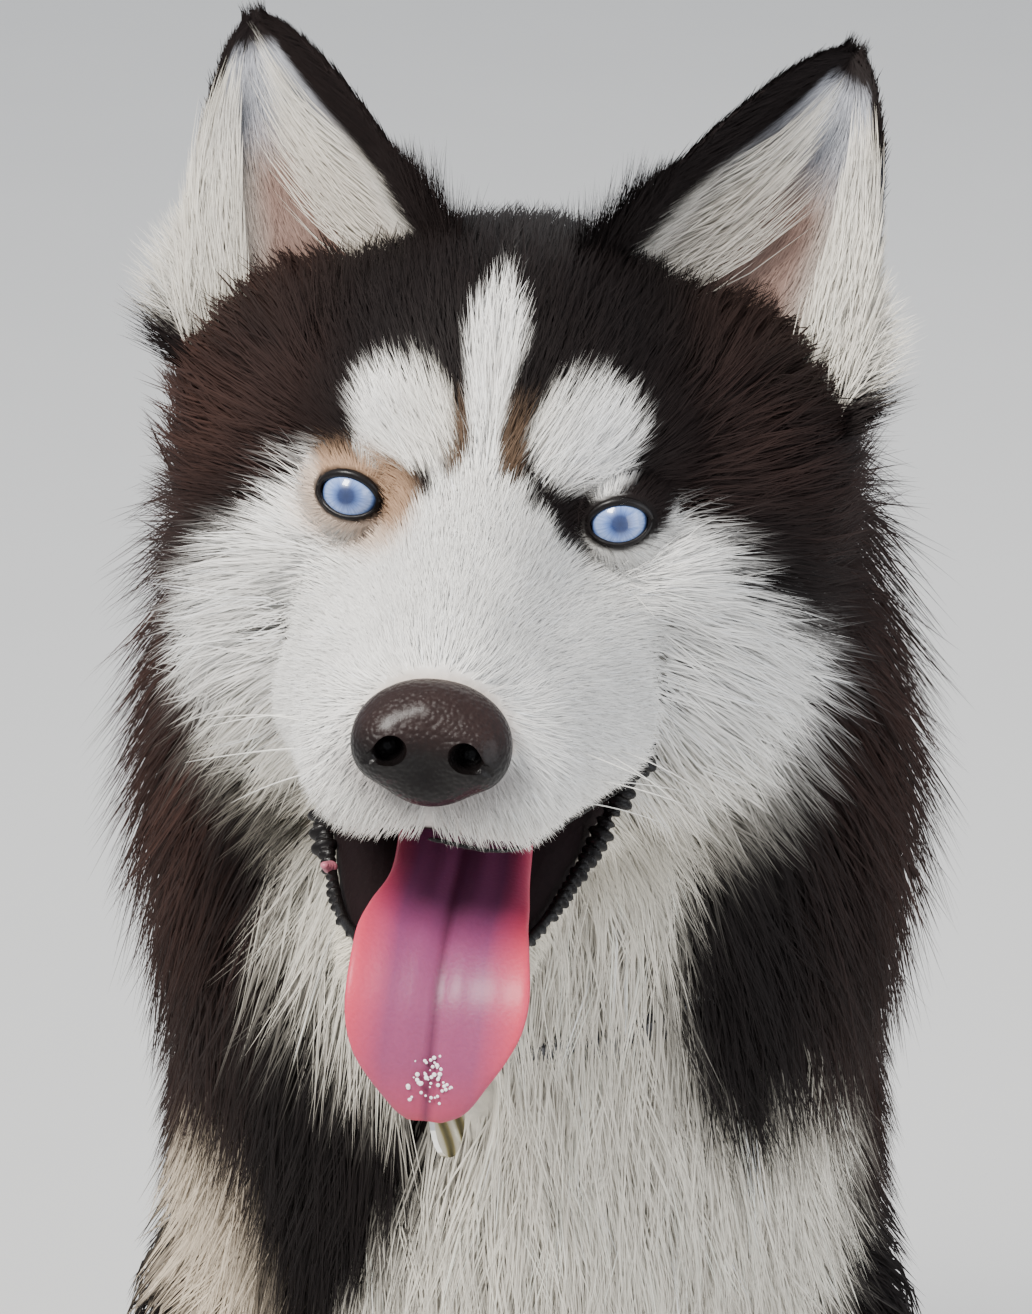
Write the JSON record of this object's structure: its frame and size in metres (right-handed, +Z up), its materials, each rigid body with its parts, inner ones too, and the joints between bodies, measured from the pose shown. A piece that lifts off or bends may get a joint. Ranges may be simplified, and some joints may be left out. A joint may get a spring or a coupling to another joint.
{
  "type": "siberian husky figure",
  "caption": "Still life-size model of a sitting Siberian husky with a full coat, looking up and panting, tail curled on the floor, in a plain collar with a blank tag.",
  "frame": {"origin": "on the floor, under the middle of the whole model's bounding box", "axes": "+Z up, the longest extent; the dog faces -Y and its left side is towards +X"},
  "size_m": [0.471, 0.787, 0.8502],
  "materials": {
    "coat_head": "short dense fur, white and dark brown",
    "coat_ruff": "long soft fur, white and dark brown",
    "coat_body": "long dark brown fur",
    "coat_foreleg": "short white fur",
    "coat_hindleg": "dark and white fur",
    "coat_tail": "long dark brown fur",
    "coat_ear": "short dark fur, pale inside",
    "nose_leather": "moist pebbled nose leather",
    "tongue_flesh": "moist tongue",
    "eye_iris": "clear cornea over a pale blue iris",
    "collar_webbing": "grey woven webbing",
    "ring_steel": "polished steel wire",
    "tag_steel": "polished steel, blank"
  },
  "bodies": {
    "root": {"head": "coat_head", "nose": "nose_leather", "tongue": "tongue_flesh", "eye_left": "eye_iris", "eye_right": "eye_iris", "ear_left": "coat_ear", "ear_right": "coat_ear", "neck": "coat_ruff", "collar": "collar_webbing", "tag_ring": "ring_steel", "tag": "tag_steel", "torso": "coat_body", "foreleg_left": "coat_foreleg", "foreleg_right": "coat_foreleg", "hindleg_left": "coat_hindleg", "hindleg_right": "coat_hindleg", "tail_root": "coat_tail", "tail_middle": "coat_tail", "tail_tip": "coat_tail"}
  },
  "joints": []
}
